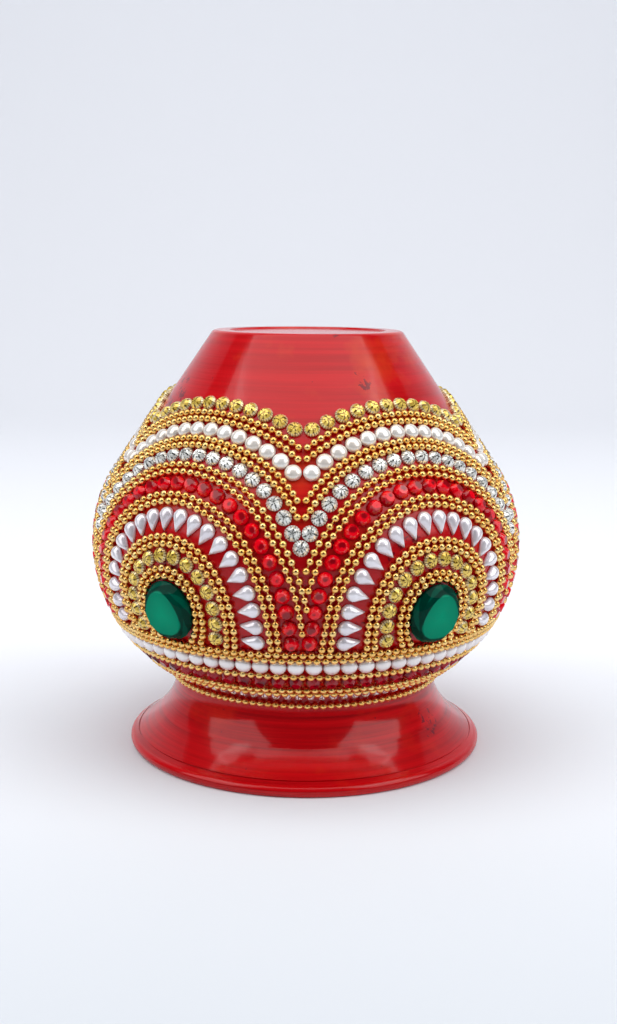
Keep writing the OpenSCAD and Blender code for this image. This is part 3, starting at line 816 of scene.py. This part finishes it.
# ---------------------------------------------------------------- floor, light and camera
def sweep():
    """Pale paper: a floor that curves up into a wall behind the pot, its colour darker towards the front as
    painted shade.
    """
    width, front, back, bend, top = 4.0, -2.5, 1.6, 0.7, 3.0
    line = [(front, 0.0), (back - bend, 0.0)]
    line += [(back - bend + bend * math.sin(a), bend - bend * math.cos(a))
             for a in [math.pi / 2 * k / 16 for k in range(1, 17)]]
    line.append((back, top))
    points = [(x, y, z) for y, z in line for x in (-width, width)]
    faces = [(2 * k, 2 * k + 1, 2 * k + 3, 2 * k + 2) for k in range(len(line) - 1)]
    mesh = bpy.data.meshes.new("paper_sweep")
    mesh.from_pydata(points, [], faces)
    mesh.polygons.foreach_set("use_smooth", [True] * len(faces))
    floor = bpy.data.objects.new("paper_sweep", mesh)
    bpy.context.scene.collection.objects.link(floor)
    material, tree, shader = new_material("paper")
    # Painted shade: the paper darkens towards the front, to hold down the pool of light under the top lamp.
    across = node(tree, "ShaderNodeSeparateXYZ", {0: stretched(tree, (1, 1, 1))}).outputs[1]
    limits = {"Value": across, "From Min": -0.25, "From Max": 0.12}
    painted_shade_ramp = node(tree, "ShaderNodeMapRange", limits).outputs[0]
    fibre = maths(tree, "MULTIPLY", noise(tree, stretched(tree, (1, 1, 1)), 8.0, 3.0, 0.5), 0.05)
    shade = maths(tree, "ADD", painted_shade_ramp, fibre)
    paper = ramp(tree, shade, [(0.0, (0.55, 0.58, 0.61)), (1.0, (0.845, 0.855, 0.885))])
    link(tree, paper, shader, "Base Color")
    set_sockets(shader, Roughness=0.9, Specular_IOR_Level=0.1)
    mesh.materials.append(material)


def panel(name, place, target, width, height, power):
    """A soft box at one place that faces another."""
    light = bpy.data.lights.new(name, "AREA")
    light.shape = "RECTANGLE"
    light.size, light.size_y = width, height
    light.energy = power
    lamp = bpy.data.objects.new(name, light)
    lamp.location = place
    lamp.rotation_euler = (Vector(target) - Vector(place)).to_track_quat("-Z", "Y").to_euler()
    bpy.context.scene.collection.objects.link(lamp)
    return lamp


def panel_round_pot(name, azimuth, elevation, distance, width, height, radiance):
    """A soft box that faces the pot from a direction given in degrees, with azimuth 0 in front."""
    a, e = math.radians(azimuth), math.radians(elevation)
    middle = Vector((0, 0, 0.07))
    place = middle + distance * Vector((math.cos(e) * math.sin(a), -math.cos(e) * math.cos(a), math.sin(e)))
    return panel(name, place, middle, width, height, radiance * math.pi * width * height)


sweep()
panel_round_pot("left_soft", -64, 34, 1.3, 1.0, 0.9, 1.9)
panel_round_pot("right_soft", 64, 34, 1.3, 1.0, 0.9, 2.3)
panel("top_soft", (0.0, -0.33, 1.3), (0.0, -0.33, 0.0), 2.1, 0.75, 2.1 * math.pi * 2.1 * 0.75)
panel("wall_wash", (0.0, 0.3, 2.2), (0, 1.6, 0.8), 3.0, 0.8, 16)

world = bpy.data.worlds.new("studio")
world.use_nodes = True
world.node_tree.nodes["Background"].inputs["Color"].default_value = (0.86, 0.90, 1.0, 1)
world.node_tree.nodes["Background"].inputs["Strength"].default_value = 0.42
world.cycles_visibility.glossy = False
bpy.context.scene.world = world
bpy.context.scene.view_settings.view_transform = "Standard"

CAMERA_BACK, CAMERA_UP = 0.4089, 0.14576
CAMERA_PITCH, CAMERA_ROLL = 10.18, 0.47
camera_data = bpy.data.cameras.new("camera")
camera_data.sensor_width = 36
camera_data.lens = 46.575
camera_data.shift_x = 0.0023
camera_data.clip_start = 0.01
camera = bpy.data.objects.new("camera", camera_data)
tilt = Matrix.Rotation(math.radians(90 - CAMERA_PITCH), 4, "X")
roll = Matrix.Rotation(math.radians(CAMERA_ROLL), 4, "Z")
camera.matrix_world = Matrix.Translation((0, -CAMERA_BACK, CAMERA_UP)) @ tilt @ roll
bpy.context.scene.collection.objects.link(camera)
bpy.context.scene.camera = camera
